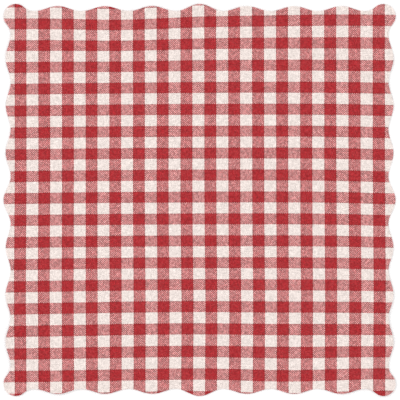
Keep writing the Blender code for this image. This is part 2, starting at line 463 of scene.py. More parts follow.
# Inside the facing, the face cloth comes down to the table: how far in, and how much of the way.
COMING_DOWN = ((0.0, 0.0), (0.0012, 0.2), (0.003, 0.5), (0.0048, 0.8), (0.0065, 1.0), (0.01, 1.0))
FACING_INSETS = (0.003, 0.007)  # straight rows along a facing's inner edge
FACING_STEPS = 8  # rows on a facing, from straight to scalloped
FACING_SHOULDER, FACING_LIP = 0.004, 0.0018  # scalloped rows along its outer edge


def layers(sizes):
    face, facing = sizes.face_thickness, sizes.facing_thickness
    made = {"table": face / 2 + AIR_UNDER_FACE, "facing": facing / 2 + AIR_UNDER_FACING}
    made["facing_turned"] = made["facing"] + facing + LOFT
    made["seam"] = made["facing_turned"] + facing / 2 + sizes.thread / 2
    made["turned"] = made["seam"] + sizes.thread / 2 + face / 2
    made["ridge"] = made["turned"] + face + LOFT
    made["on_facing"] = made["facing"] + facing / 2 + LOFT + face / 2
    made["on_hem"] = made["facing_turned"] + facing / 2 + LOFT + face / 2
    made["in_hem"] = (made["facing"] + made["facing_turned"]) / 2
    made["under_facing"] = made["facing"] - facing / 2
    return made


def facing_reach(sizes):
    """From the crest line to the facing's inner edge."""
    return sizes.tall_lobe_depth + sizes.facing_width


def fold(low, high, thickness):
    """A fold's half round between two plies' middles, from the lower one to the upper one, as
    (inset, height) pairs, and its length. The cloth's outer surface touches inset 0."""
    radius, middle = (high - low) / 2, (high + low) / 2
    angles = [math.pi * (step / FOLD_STEPS - 0.5) for step in range(FOLD_STEPS + 1)]
    turn = [
        (thickness / 2 + radius * (1 - math.cos(a)), middle + radius * math.sin(a))
        for a in angles
    ]
    return turn, math.pi * (high - low) / 2


def face_rows(sizes):
    """The face cloth from its turned raw edge, out round the fold and in over the facing, down to
    the table, as (row, height, row on the flat cloth)."""
    z = layers(sizes)
    rows = []
    turn, around = fold(z["turned"], z["ridge"], sizes.face_thickness)
    for part in TURNED_PARTS:
        inset = sizes.allowance * part
        rows.append((scalloped(inset), z["turned"], scalloped(-around - inset)))
    for step, (inset, height) in enumerate(turn):
        beyond = around * (1 - step / FOLD_STEPS)
        rows.append((scalloped(inset), height, scalloped(-beyond)))
    shoulder = sizes.allowance + SHOULDER
    for inset in (*RIDGE_INSETS, shoulder):
        rows.append((scalloped(inset), z["ridge"], scalloped(inset)))
    for step in range(1, RIDGE_STEPS + 1):
        t = step / RIDGE_STEPS
        height = z["ridge"] + (z["on_facing"] - z["ridge"]) * smooth(t)
        inset = shoulder + RIDGE_SLOPE * t
        rows.append((scalloped(inset), height, scalloped(inset)))
    facing_edge = facing_reach(sizes)
    hem_start = facing_edge - sizes.hem
    rise_start, half_risen = UP_TO_HEM
    for step in range(1, STRAIGHTENING_ROWS + 1):
        t = step / STRAIGHTENING_ROWS
        inset = shoulder + RIDGE_SLOPE + MORE_INSET * t
        row = Row(inset, hem_start - rise_start, smooth(t))
        rows.append((row, z["on_facing"], row))
    half_up = (z["on_facing"] + z["on_hem"]) / 2
    inner = [(hem_start - half_risen, half_up), (hem_start, z["on_hem"])]
    for inward, down in COMING_DOWN:
        inner.append((facing_edge + inward, z["on_hem"] * (1 - down) + z["table"] * down))
    for inset, height in inner:
        rows.append((straight(inset), height, straight(inset)))
    return rows


def facing_rows(sizes):
    """A facing strip from the turned raw edge inside its hem, round the hem's fold, out along its
    lower ply, round the outer fold and back in, as (row, height, distance across the strip)."""
    z = layers(sizes)
    facing_edge = facing_reach(sizes)
    rows = []
    turn, around = fold(z["facing"], z["facing_turned"], sizes.facing_thickness)
    for part in (1.0, 0.5):
        turned_in = sizes.hem * part
        row = straight(facing_edge - turned_in)
        rows.append((row, z["facing_turned"], facing_edge + turned_in))
    for inset, height in reversed(turn):
        rows.append((straight(facing_edge - inset), height, facing_edge))
    for inset in FACING_INSETS:
        rows.append((straight(facing_edge - inset), z["facing"], facing_edge - inset))
    last_straight = facing_edge - FACING_INSETS[-1]
    outermost = sizes.set_back
    shoulder = outermost + FACING_SHOULDER
    for step in range(1, FACING_STEPS + 1):
        t = step / FACING_STEPS
        row = Row(shoulder + 2 * MORE_INSET * (1 - t), last_straight, 1 - smooth(t))
        rows.append((row, z["facing"], last_straight * (1 - t) + shoulder * t))
    lip = outermost + FACING_LIP
    rows.append((scalloped(lip), z["facing"], lip))
    for inset, height in turn:
        rows.append((scalloped(outermost + inset), height, outermost))
    for part in reversed(TURNED_PARTS):
        inset = outermost + sizes.allowance * part
        rows.append((scalloped(inset), z["facing_turned"], outermost - around - inset))
    return rows


# --- Meshes --------------------------------------------------------------------------------


def add_attribute(mesh, flat):
    """Stores each point's place on the flat cloth, for the weave to follow."""
    layer = mesh.attributes.new(FLAT, "FLOAT_VECTOR", "POINT")
    values = np.zeros((len(flat), 3), np.float32)
    values[:, :2] = flat
    layer.data.foreach_set("vector", values.ravel())


def quads(outer, inner, closed):
    """Faces between two rows of point numbers."""
    follow = np.roll(outer, -1), np.roll(inner, -1)
    made = np.stack([outer, follow[0], follow[1], inner], axis=1)
    return (made if closed else made[:-1]).tolist()


class Cloth:
    """A sheet's points, their places on the flat cloth and heights above the laid cloth, and its
    faces, built up row by row."""

    def __init__(self):
        self.points = self.flat = np.empty((0, 2))
        self.heights = np.empty(0)
        self.faces = []

    def add(self, points, flat, heights):
        """Adds points, and gives their numbers."""
        first = len(self.points)
        self.points = np.concatenate([self.points, points])
        self.flat = np.concatenate([self.flat, flat])
        self.heights = np.append(self.heights, np.zeros(len(points)) + heights)
        return first + np.arange(len(points))

    def to_object(self, name, sizes, thickness, material):
        """The finished piece, with that thickness about its middle surface."""
        z = self.heights + laid_height(sizes, self.points)
        mesh = bpy.data.meshes.new(name)
        mesh.from_pydata(np.column_stack([self.points, z]).tolist(), [], self.faces)
        mesh.validate()
        add_attribute(mesh, self.flat)
        mesh.materials.append(material)
        mesh.shade_smooth()
        piece = bpy.data.objects.new(name, mesh)
        bpy.context.scene.collection.objects.link(piece)
        body = piece.modifiers.new("thickness", "SOLIDIFY")
        body.thickness = thickness
        body.offset = 0
        body.use_even_offset = True
        body.use_quality_normals = True
        return piece


def ring_points(sizes, row):
    """A row round all four sides, without its repeated corner points."""
    return np.concatenate(
        [to_side(row_points(sizes, side, row), side)[:-1] for side in SIDES]
    )


def inner_grid(ring, ring_numbers, next_number):
    """Points and faces that fill a rectangular ring of points."""
    across = int(np.argmax(ring[:, 0] >= ring[:, 0].max() - 1e-9)) + 1
    up = len(ring) // 2 - across + 2
    x, y = ring[:across, 0], ring[across - 1 : across - 1 + up, 1]
    inside = (up - 2, across - 2)
    numbers = np.zeros((up, across), int)
    numbers[0] = ring_numbers[:across]
    numbers[:, -1] = ring_numbers[across - 1 : across - 1 + up]
    numbers[-1] = ring_numbers[across + up - 2 : 2 * across + up - 2][::-1]
    numbers[1:, 0] = ring_numbers[2 * across + up - 3 :][::-1][: up - 1]
    numbers[1:-1, 1:-1] = next_number + np.arange(math.prod(inside)).reshape(inside)
    grid_x, grid_y = np.meshgrid(x[1:-1], y[1:-1])
    points = np.stack([grid_x.ravel(), grid_y.ravel()], axis=1)
    corners = (numbers[:-1, :-1], numbers[:-1, 1:], numbers[1:, 1:], numbers[1:, :-1])
    return points, np.stack(corners, axis=-1).reshape(-1, 4).tolist()


# A place where the cloth was tugged as it was made and laid: where it is and how far it reaches,
# as shares of the half width and length, and how far it draws the weave to the right and up.
Tug = namedtuple("Tug", "x y reach_x reach_y right up")

TUGS = (
    Tug(-0.4, 1.0, 0.3, 0.25, 0.0, -0.0067),
    Tug(0.8, 1.0, 0.4, 0.2, 0.0, 0.0029),
    Tug(1.0, 0.1, 0.25, 0.6, 0.0, -0.0032),
    Tug(0.45, -1.0, 0.3, 0.28, 0.0, -0.0056),
    Tug(-0.2, -0.6, 0.5, 0.3, 0.0, 0.0017),
    Tug(-0.55, -0.9, 0.4, 0.3, 0.0, -0.0012),
    Tug(0.1, -0.55, 0.45, 0.3, 0.0015, 0.0),
    Tug(-0.25, 0.05, 0.3, 0.3, -0.0006, 0.0),
    Tug(-0.9, -0.45, 0.35, 0.35, -0.0015, 0.0),
    Tug(0.9, -0.45, 0.35, 0.4, 0.0016, 0.0),
)


def eased(sizes, weave, flat):
    """Where a point of the face cloth was before the weave was pulled out of square."""
    x, y = flat[:, 0] / (sizes.width / 2), flat[:, 1] / (sizes.length / 2)
    rise = (
        weave.row_skew * x
        - weave.row_bow * x**2
        - weave.row_drag * y**2
        + weave.row_stretch * y
        + weave.row_spread * y**3
        + weave.row_lift * x * y**2
    )
    rightward = (
        weave.column_bow * x**2
        - weave.column_lean * y
        + weave.column_twist * x**2 * y
        + weave.column_spread * x**3
    )
    for tug in TUGS:
        near = np.exp(-(((x - tug.x) / tug.reach_x) ** 2) - ((y - tug.y) / tug.reach_y) ** 2)
        rightward += tug.right * near
        rise += tug.up * near
    return flat - np.stack([rightward, rise], axis=1)


def make_face_cloth(sizes, weave, material):
    cloth = Cloth()
    before = None
    for row, height, flat_row in face_rows(sizes):
        ring = ring_points(sizes, row)
        numbers = cloth.add(ring, ring_points(sizes, flat_row), height)
        if before is not None:
            cloth.faces += quads(before, numbers, closed=True)
        before = numbers
    inside, inside_faces = inner_grid(ring, numbers, len(cloth.points))
    cloth.add(inside, inside, height)
    cloth.faces += inside_faces
    cloth.flat = eased(sizes, weave, cloth.flat)
    return cloth.to_object("face_cloth_woven", sizes, sizes.face_thickness, material)


MITRE_GAP = 0.00025  # from a facing strip's end to the diagonal
MITRE_ROLL = 0.0016  # the ends roll in over this distance
MITRE_ROLL_HEIGHT = 0.00012


def trimmed(sizes, side, points):
    """A facing's row with both ends drawn back from the diagonals, and each point's distance from
    the nearer diagonal."""
    half_side, half_across = half_sides(sizes, side)
    past = ((half_side - np.abs(points[:, 0])) - (half_across + points[:, 1])) / math.sqrt(2)
    points = points.copy()
    for end, inner in ((0, 1), (-1, -2)):
        part = (MITRE_GAP - past[end]) / (past[inner] - past[end])
        points[end] += (points[inner] - points[end]) * part
        past[end] = MITRE_GAP
    return points, past


# Each strip is cut from its own place in the cloth, so many checks further along and as many
# times that far further across.
CUT_FROM, CUT_APART, CUT_ACROSS = 0.21, 0.37, 0.02


def make_facing(sizes, weave, side, material):
    cloth = Cloth()
    before = None
    offset = SIDES.index(side) * CUT_APART + CUT_FROM
    for row, height, across in facing_rows(sizes):
        line, from_end = trimmed(sizes, side, row_points(sizes, side, row))
        along = line[:, 0] + offset * weave.check_width
        flat = np.stack([np.full(len(line), across + offset * CUT_ACROSS), along], axis=1)
        roll = MITRE_ROLL_HEIGHT * np.clip(1 - from_end / MITRE_ROLL, 0, 1) ** 2
        numbers = cloth.add(to_side(line, side), flat, height + roll)
        if before is not None:
            cloth.faces += quads(numbers, before, closed=False)
        before = numbers
    return cloth.to_object(f"facing_{side}_woven", sizes, sizes.facing_thickness, material)


# --- Stitches ------------------------------------------------------------------------------

SEAM_INSET = 0.0015  # from the scallops in to the edge seam
SEAM_DIP = 0.00004
HEM_THREAD_LOW = 0.2  # its middle lies this far below the facing, in thread widths
MITRE_THREAD_LOW = 0.15
CAUGHT, CATCHING = 0.4, 0.1  # a slip stitch, below the face cloth's middle, in its thicknesses
RUNGS_START = 0.0012  # from a corner's lobe in to the first rung of its mitre
RUNGS_END = 0.001  # from the last rung to the hem's fold
RUNG_INSIDE, RUNG_OUTSIDE = 0.0011, 0.0008  # half a rung, inside and outside the cloth


def thread_object(name, path, sizes, material):
    """A length of sewing thread along an (n, 3) path whose heights are above the laid cloth."""
    data = bpy.data.curves.new(name, "CURVE")
    data.dimensions = "3D"
    data.bevel_depth = sizes.thread / 2
    data.bevel_resolution = 1
    data.use_fill_caps = True
    z = path[:, 2] + laid_height(sizes, path[:, :2])
    placed = np.column_stack([path[:, :2], z, np.ones(len(path))])
    spline = data.splines.new("POLY")
    spline.points.add(len(path) - 1)
    spline.points.foreach_set("co", placed.astype(np.float32).ravel())
    data.materials.append(material)
    thread = bpy.data.objects.new(name, data)
    bpy.context.scene.collection.objects.link(thread)
    return thread


def even_steps(points, step):
    """Points at even steps along a line of points."""
    runs = np.linalg.norm(np.diff(points, axis=0), axis=1)
    travelled = np.concatenate([[0], np.cumsum(runs)])
    count = max(2, int(travelled[-1] / step))
    at = np.linspace(0, travelled[-1], count + 1)
    return np.stack([np.interp(at, travelled, points[:, k]) for k in (0, 1)], axis=1)


def path_of_side(points, side):
    """A list of places worked out as if on the front edge, as an (n, 3) path on its own side."""
    path = np.array(points)
    path[:, :2] = to_side(path[:, :2], side)
    return path


def edge_seam_path(sizes):
    """The machine seam between the turned edges: it dips at every other point."""
    ring = ring_points(sizes, scalloped(SEAM_INSET))
    ring = np.concatenate([ring, ring[:1]])
    points = even_steps(ring, sizes.edge_stitch / 2)
    heights = layers(sizes)["seam"] + SEAM_DIP * (-1.0) ** np.arange(len(points))
    return np.column_stack([points, heights])


def hem_stitch_path(sizes, side):
    """Slip stitches: each comes out of the facing's hem, crosses its fold on a slant, catches the
    face cloth and goes back inside the hem to the next."""
    z = layers(sizes)
    half_side, half_across = half_sides(sizes, side)
    edge = facing_reach(sizes)
    run = half_side - edge - 2 * sizes.hem_stitch
    below = z["under_facing"] - sizes.thread * HEM_THREAD_LOW
    stitch = (  # along, in from the fold, height
        (0.0, -0.0016, z["in_hem"]),
        (0.0002, -0.0011, below),
        (0.0007, -0.0003, below),
        (0.0011, 0.0004, below + 0.0001),
        (0.0014, 0.0009, z["on_hem"] - sizes.face_thickness * CAUGHT),
        (0.0022, 0.0002, z["on_hem"] - sizes.face_thickness * CATCHING),
        (0.0030, -0.0014, z["in_hem"]),
    )
    path = [
        (start + along, edge + inward - half_across, height)
        for start in np.arange(-run, run, sizes.hem_stitch)
        for along, inward, height in stitch
    ]
    return path_of_side(path, side)


def mitre_stitch_path(sizes, side):
    """Ladder stitches over the mitre at the end of a side: short bars across the diagonal."""
    z = layers(sizes)
    half_side, half_across = half_sides(sizes, side)
    start = sizes.corner_radius * (1 - 1 / math.sqrt(2)) + sizes.set_back + RUNGS_START
    below = z["under_facing"] - sizes.thread * MITRE_THREAD_LOW
    rung = (  # across the diagonal, height
        (-RUNG_INSIDE, z["in_hem"]),
        (-RUNG_OUTSIDE, below),
        (RUNG_OUTSIDE, below),
        (RUNG_INSIDE, z["in_hem"]),
    )
    step = sizes.mitre_stitch / math.sqrt(2)
    path = []
    for count, inset in enumerate(np.arange(start, facing_reach(sizes) - RUNGS_END, step)):
        way = 1 if count % 2 else -1
        for across, height in rung:
            off = way * across / math.sqrt(2)
            path.append((half_side - inset + off, inset - half_across + off, height))
    return path_of_side(path, side)


# --- Node groups ---------------------------------------------------------------------------


def feed(socket, value):
    """Links another node's output to a socket, or sets the socket's own value."""
    if isinstance(value, bpy.types.NodeSocket):
        socket.id_data.links.new(value, socket)
    elif isinstance(value, Color):
        socket.default_value = (*value, 1.0)
    else:
        socket.default_value = value


def node(tree, kind, *inputs, **named):
    """A new node. Its first inputs are given in order. Names that start with a capital are more of
    its inputs, with _ for a space, and other names are its settings."""
    made = tree.nodes.new("ShaderNode" + kind)
    for name, value in named.items():
        if name[0].islower():
            setattr(made, name, value)
    for socket, value in zip(made.inputs, inputs):
        feed(socket, value)
    for name, value in named.items():
        if name[0].isupper():
            feed(made.inputs[name.replace("_", " ")], value)
    return made


def calc(tree, operation, *inputs):
    return node(tree, "Math", *inputs, operation=operation).outputs[0]


def noise_at(tree, place, **inputs):
    return node(tree, "TexNoise", place, noise_dimensions="3D", **inputs)


def about_one(tree, value, amount):
    """A value from 0 to 1, turned into one about 1 that varies by that amount."""
    return calc(tree, "MULTIPLY_ADD", calc(tree, "SUBTRACT", value, 0.5), amount, 1.0)


def mixed(tree, kind, factor, first, second):
    """A Mix node's result: the first where factor is 0 and the second where it is 1. kind is
    Float or Color."""
    made = node(tree, "Mix", data_type={"Float": "FLOAT", "Color": "RGBA"}[kind])
    sockets = {socket.identifier: socket for socket in made.inputs}
    feed(sockets["Factor_Float"], factor)
    feed(sockets[f"A_{kind}"], first)
    feed(sockets[f"B_{kind}"], second)
    return next(s for s in made.outputs if s.identifier == f"Result_{kind}")


def new_group(name, inputs, outputs):
    """An empty node group, its inputs' sockets by name and its output node."""
    tree = bpy.data.node_groups.new(name, "ShaderNodeTree")
    for label, kind in inputs:
        tree.interface.new_socket(label, in_out="INPUT", socket_type="NodeSocket" + kind)
    for label, kind in outputs:
        tree.interface.new_socket(label, in_out="OUTPUT", socket_type="NodeSocket" + kind)
    given = tree.nodes.new("NodeGroupInput").outputs
    return tree, given, tree.nodes.new("NodeGroupOutput").inputs


def yarn_side(tree, position, count, cover):
    """One set of parallel threads across a bundle: how high the nearest thread's round back is
    there, from 0 between threads to 1 on its crest."""
    within = calc(tree, "FRACT", calc(tree, "MULTIPLY", position, count))
    off = calc(tree, "ABSOLUTE", calc(tree, "MULTIPLY_ADD", within, 2.0, -1.0))
    reached = calc(tree, "DIVIDE", off, cover)
    fall = calc(tree, "SUBTRACT", 1.0, calc(tree, "POWER", reached, 2.0))
    return calc(tree, "SQRT", calc(tree, "MAXIMUM", fall, 0.0))


ARCH_RELIEF, BACK_RELIEF = 0.55, 0.7  # how high a float arches, and a thread's round back on it
NO_THREAD = 0.02  # there is no thread where its back is lower than this
MISSING_DEPTH = 3.0
DEEPEST, DEEPEST_SHADE = -0.9, 0.5  # the weave's bottom, and the tone it keeps


def weave_group():
    """A basket weave, seen from above. Position is in bundles: whole numbers lie between bundles.
    Warp On Top says which threads show, Height is their relief, Shade darkens what lies deeper,
    and Float is the place of the float that shows, the same all over it."""
    tree, given, out = new_group(
        "Basket Weave",
        (
            ("Position", "Vector"),
            ("Threads", "Float"),
            ("Warp Cover", "Float"),
            ("Weft Cover", "Float"),
        ),
        (("Warp On Top", "Float"), ("Height", "Float"), ("Shade", "Float"), ("Float", "Vector")),
    )
    at = node(tree, "SeparateXYZ", given["Position"])
    a, b = at.outputs[0], at.outputs[1]
    column, line = calc(tree, "FLOOR", a), calc(tree, "FLOOR", b)
    over = calc(tree, "FLOORED_MODULO", calc(tree, "ADD", column, line), 2.0)
    sign = calc(tree, "MULTIPLY_ADD", over, 2.0, -1.0)
    arch_a = calc(tree, "ABSOLUTE", calc(tree, "SINE", calc(tree, "MULTIPLY", a, math.pi)))
    arch_b = calc(tree, "ABSOLUTE", calc(tree, "SINE", calc(tree, "MULTIPLY", b, math.pi)))
    warp_level = calc(tree, "MULTIPLY", sign, arch_b)
    weft_level = calc(tree, "MULTIPLY", calc(tree, "MULTIPLY", sign, -1.0), arch_a)
    warp_back = yarn_side(tree, a, given["Threads"], given["Warp Cover"])
    weft_back = yarn_side(tree, b, given["Threads"], given["Weft Cover"])

    def raised(level, back):
        """A thread's height, or far down where there is no thread."""
        there = calc(tree, "GREATER_THAN", back, NO_THREAD)
        missing = calc(tree, "MULTIPLY_ADD", there, MISSING_DEPTH, -MISSING_DEPTH)
        round_back = calc(tree, "MULTIPLY", back, BACK_RELIEF)
        body = calc(tree, "MULTIPLY_ADD", level, ARCH_RELIEF, round_back)
        return calc(tree, "ADD", body, missing)

    warp, weft = raised(warp_level, warp_back), raised(weft_level, weft_back)
    highest = calc(tree, "MAXIMUM", calc(tree, "MAXIMUM", warp, weft), DEEPEST)
    deep = node(tree, "MapRange", highest, DEEPEST, ARCH_RELIEF, DEEPEST_SHADE, 1.0)
    place = node(tree, "CombineXYZ", column, line)
    feed(out["Warp On Top"], calc(tree, "GREATER_THAN", warp, weft))
    feed(out["Height"], highest)
    feed(out["Shade"], deep.outputs[0])
    feed(out["Float"], place.outputs[0])
    return tree


def slub_group():
    """Uneven yarn: a value about 1 that varies quickly from thread to thread and slowly along
    each. Stretch draws the unevenness out along X or Y."""
    tree, given, out = new_group(
        "Slubs",
        (("Position", "Vector"), ("Stretch", "Vector"), ("Scale", "Float"), ("Amount", "Float")),
        (("Value", "Float"),),
    )
    drawn = node(tree, "VectorMath", given["Position"], given["Stretch"], operation="MULTIPLY")
    uneven = noise_at(tree, drawn.outputs[0], Scale=given["Scale"], Detail=2.5, Roughness=0.62)
    feed(out["Value"], about_one(tree, uneven.outputs[0], given["Amount"]))
    return tree


def fuzz_group():
    """Loose fibres on a thread's surface: a fine value about 0.5."""
    tree, given, out = new_group(
        "Fibre Fuzz", (("Position", "Vector"), ("Scale", "Float")), (("Value", "Float"),)
    )
    fine = noise_at(tree, given["Position"], Scale=given["Scale"], Detail=3.0)
    feed(out["Value"], fine.outputs[0])
    return tree


def check_group():
    """Which bundles are dyed: Red Warp and Red Weft are 1 in red bands and 0 in white ones. Edge
    is 1 in the two outer bundles of each band, which are beaten closer, and 0 elsewhere."""
    tree, given, out = new_group(
        "Gingham Check",
        (("Position", "Vector"), ("Bundles", "Float")),
        (("Red Warp", "Float"), ("Red Weft", "Float"), ("Edge", "Float")),
    )
    at = node(tree, "SeparateXYZ", given["Position"])
    half = calc(tree, "MULTIPLY", given["Bundles"], 0.5)
    edges = []
    for index, label in ((0, "Red Warp"), (1, "Red Weft")):
        band = calc(tree, "DIVIDE", at.outputs[index], given["Bundles"])
        red = calc(tree, "FLOORED_MODULO", calc(tree, "FLOOR", band), 2.0)
        feed(out[label], red)
        across = calc(tree, "MULTIPLY", calc(tree, "FRACT", band), given["Bundles"])
        off = calc(tree, "ABSOLUTE", calc(tree, "SUBTRACT", across, half))
        edges.append(calc(tree, "GREATER_THAN", off, calc(tree, "SUBTRACT", half, 1.0)))
    feed(out["Edge"], calc(tree, "MAXIMUM", *edges))
    return tree


def uneven_group():
    """Uneven yarn from float to float: an even spread of values about 1, one for each float, and
    another from 0 to 1 that has nothing to do with the first."""
    tree, given, out = new_group(
        "Uneven Floats",
        (("Float", "Vector"), ("Amount", "Float")),
        (("Value", "Float"), ("Chance", "Float")),
    )
    chance = node(tree, "TexWhiteNoise", given["Float"], noise_dimensions="3D")
    feed(out["Value"], about_one(tree, chance.outputs["Value"], given["Amount"]))
    apart = node(tree, "SeparateColor", chance.outputs["Color"])
    feed(out["Chance"], apart.outputs[1])
    return tree


# --- Materials -----------------------------------------------------------------------------

PLAIN_UNEVEN = 0.23  # how much the floats' tone varies in the white squares
RED_UNEVEN = 0.2  # how much more it varies in the red squares
MIXED_UNEVEN = 0.45  # and where red crosses white
PATCH_UNEVEN = 1.1  # the tone of patches of a few floats varies by this share of the above
PATCHES = ((1.0, 0.7, 1.0), 160.0)  # their stretch and scale
WARP_SLUBS = ((1.0, 0.16, 1.0), 520.0, 0.9)  # stretch, scale and amount
WEFT_SLUBS = ((0.16, 1.0, 1.0), 520.0, 1.5)
WARP_COVER, WEFT_COVER = 0.98, 0.85  # a thread's width as a share of its space
WANDER_SCALE, WANDER = 210.0, 0.7  # how quickly and how far the threads wander, in bundles
LINT = 0.06  # the most white lint on a dyed float
EDGE_DARKER = 0.11  # how much darker the outer bundles of a red band are
CLOTH_FUZZ, FUZZ_TONE, FUZZ_RELIEF = 5200.0, 0.3, 0.35
CLOTH_BUMP = (0.6, 0.00018)  # strength and distance
THREAD_FUZZ, THREAD_TONE = 9000.0, 0.4
THREAD_BUMP = (0.4, 0.00005)


def new_material(name, roughness, sheen, specular):
    """A material with its Principled shader, whose even values are set here."""
    material = bpy.data.materials.new(name)
    material.use_nodes = True
    shader = material.node_tree.nodes["Principled BSDF"]
    feed(shader.inputs["Roughness"], roughness)
    feed(shader.inputs["Sheen Weight"], sheen)
    feed(shader.inputs["Sheen Roughness"], 0.5)
    feed(shader.inputs["Specular IOR Level"], specular)
    return material, material.node_tree, shader


def finish(tree, shader, colour, tone, relief, bump):
    """Gives the shader a colour scaled by a tone, and a relief of that strength and distance."""
    toned = node(tree, "VectorMath", colour, operation="SCALE", Scale=tone)
    surface = node(tree, "Bump", *bump, Height=relief)
    feed(shader.inputs["Base Color"], toned.outputs[0])
    feed(shader.inputs["Normal"], surface.outputs[0])


def placed_group(tree, label, **values):
    """The outputs of a shared group placed in a material, with its inputs given by name."""
    builders = {
        "Basket Weave": weave_group,
        "Gingham Check": check_group,
        "Slubs": slub_group,
        "Uneven Floats": uneven_group,
        "Fibre Fuzz": fuzz_group,
    }
    group = bpy.data.node_groups.get(label) or builders[label]()
    return node(tree, "Group", node_tree=group, **values).outputs


def in_bundles(tree, cloth, weave, columns_from, rows_from):
    """Each point's place on the cloth, counted in bundles from there, with the threads' wander."""

    def vector(operation, *inputs, **named):
        return node(tree, "VectorMath", *inputs, operation=operation, **named).outputs[0]

    size = (weave.check_width / weave.bundles, weave.check_height / weave.bundles, 1.0)
    from_start = vector("SUBTRACT", cloth, (columns_from, rows_from, 0.0))
    uneven = noise_at(tree, cloth, Scale=WANDER_SCALE, Detail=2.0)
    off_centre = vector("SUBTRACT", uneven.outputs["Color"], (0.5, 0.5, 0.5))
    wandering = vector("SCALE", off_centre, Scale=WANDER)
    return vector("ADD", vector("DIVIDE", from_start, size), wandering)


def gingham_material(name, weave, colours, columns_from, rows_from):
    """Yarn-dyed gingham. columns_from and rows_from are where a white band starts, each way."""
    material, tree, shader = new_material(name, roughness=0.92, sheen=0.04, specular=0.08)
    cloth = node(tree, "Attribute", attribute_name=FLAT).outputs["Vector"]
    position = in_bundles(tree, cloth, weave, columns_from, rows_from)

    def slubs(stretch, scale, amount):
        values = {"Stretch": stretch, "Scale": scale, "Amount": amount}
        return placed_group(tree, "Slubs", Position=cloth, **values)["Value"]

    check = placed_group(tree, "Gingham Check", Position=position, Bundles=float(weave.bundles))
    basket = placed_group(
        tree,
        "Basket Weave",
        Position=position,
        Threads=float(weave.threads),
        Warp_Cover=WARP_COVER,
        Weft_Cover=WEFT_COVER,
    )
    warp_on_top, red_warp, red_weft = basket["Warp On Top"], check["Red Warp"], check["Red Weft"]
    any_red = calc(tree, "MAXIMUM", red_warp, red_weft)
    all_red = calc(tree, "MULTIPLY", red_warp, red_weft)
    mixed_bands = calc(tree, "SUBTRACT", any_red, all_red)
    amount = calc(tree, "MULTIPLY_ADD", mixed_bands, MIXED_UNEVEN, PLAIN_UNEVEN)
    amount = calc(tree, "MULTIPLY_ADD", all_red, RED_UNEVEN, amount)
    floats = placed_group(tree, "Uneven Floats", Float=basket["Float"], Amount=amount)

    lint = calc(tree, "MULTIPLY", floats["Chance"], LINT)
    # Where red crosses white, white threads take a colour with painted shade and a painted red
    # reflection
    undyed = mixed(tree, "Color", any_red, colours.white, colours.blend)
    # and red threads there take a lighter colour, a painted reflection of the white threads
    dyed = mixed(tree, "Color", mixed_bands, colours.red, colours.red_painted_white_reflection)
    # Lint pulls a dyed float towards that white with painted shade and a painted red reflection
    dyed = mixed(tree, "Color", lint, dyed, colours.blend)
    red_on_top = mixed(tree, "Float", warp_on_top, red_weft, red_warp)
    yarns = mixed(tree, "Color", red_on_top, undyed, dyed)

    fuzz = placed_group(tree, "Fibre Fuzz", Position=cloth, Scale=CLOTH_FUZZ)["Value"]
    red_edge = calc(tree, "MULTIPLY", check["Edge"], any_red)
    tone = mixed(tree, "Float", warp_on_top, slubs(*WEFT_SLUBS), slubs(*WARP_SLUBS))
    for effect in (
        floats["Value"],
        slubs(*PATCHES, calc(tree, "MULTIPLY", amount, PATCH_UNEVEN)),
        basket["Shade"],
        calc(tree, "MULTIPLY_ADD", red_edge, -EDGE_DARKER, 1.0),
        about_one(tree, fuzz, FUZZ_TONE),
    ):
        tone = calc(tree, "MULTIPLY", tone, effect)
    relief = calc(tree, "MULTIPLY_ADD", fuzz, FUZZ_RELIEF, basket["Height"])
    finish(tree, shader, yarns, tone, relief, CLOTH_BUMP)
    return material


def thread_material(name, colours):
    """Sewing cotton: a soft gloss, with fine fibres."""
    material, tree, shader = new_material(name, roughness=0.55, sheen=0.2, specular=0.35)
    place = node(tree, "TexCoord").outputs["Object"]
    fuzz = placed_group(tree, "Fibre Fuzz", Position=place, Scale=THREAD_FUZZ)["Value"]
    tone = about_one(tree, fuzz, THREAD_TONE)
    finish(tree, shader, tuple(colours.sewing), tone, fuzz, THREAD_BUMP)
    return material


def cached_material(name, build, *values):
    """The material of that name, built when it is first asked for."""
    return bpy.data.materials.get(name) or build(name, *values)


def gingham(scene, name, columns_from, rows_from):
    weave, colours = scene.tablecloth_weave, scene.tablecloth_colours
    return cached_material(name, gingham_material, weave, colours, columns_from, rows_from)


def face_gingham(scene):
    weave = scene.tablecloth_weave
    left = weave.white_column - weave.check_width / 2
    return gingham(scene, "gingham_of_face", left, weave.red_row + weave.check_height / 2)


def facing_gingham(scene):
    return gingham(scene, "gingham_of_facing", 0.0, 0.0)


def sewing_cotton(scene):
    return cached_material("sewing_cotton", thread_material, scene.tablecloth_colours)


# --- Operators -----------------------------------------------------------------------------


def declare(piece, cad_node):
    """Attaches a piece to the root body, and hides the solid that it is the look of."""
    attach(piece, "root")
    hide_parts(cad_node)


def declare_thread(context, name, cad_node, path):
    """Makes a length of thread, attaches it to the root body and hides its solid."""
    sizes, cotton = context.scene.tablecloth_sizes, sewing_cotton(context.scene)
    declare(thread_object(name, path, sizes, cotton), cad_node)


def neighbouring_sides():
    """Each side with the next one round."""
    return zip(SIDES, SIDES[1:] + SIDES[:1])


class TABLECLOTH_OT_settle(bpy.types.Operator):
    """Let the cloth come to rest on the table"""

    bl_idname = "tablecloth.settle"
    bl_label = "Settle Cloth"

    def execute(self, context):
        sizes = context.scene.tablecloth_sizes
        x, y = sheet_grid(sizes)
        heights = start_heights(x, y)
        sheet = sheet_mesh("settling_sheet", x, y, heights)
        heights = simulated(sheet).reshape(heights.shape)
        bpy.data.meshes.remove(sheet)
        heights = softened(heights)
        resting = np.quantile(heights, FLAT_SHARE)
        heights = np.maximum(heights - resting, 0)
        heights = softened(heights) * sizes.ripple / heights.max()
        sheet_mesh(SETTLED, x, y, heights)
        return {"FINISHED"}


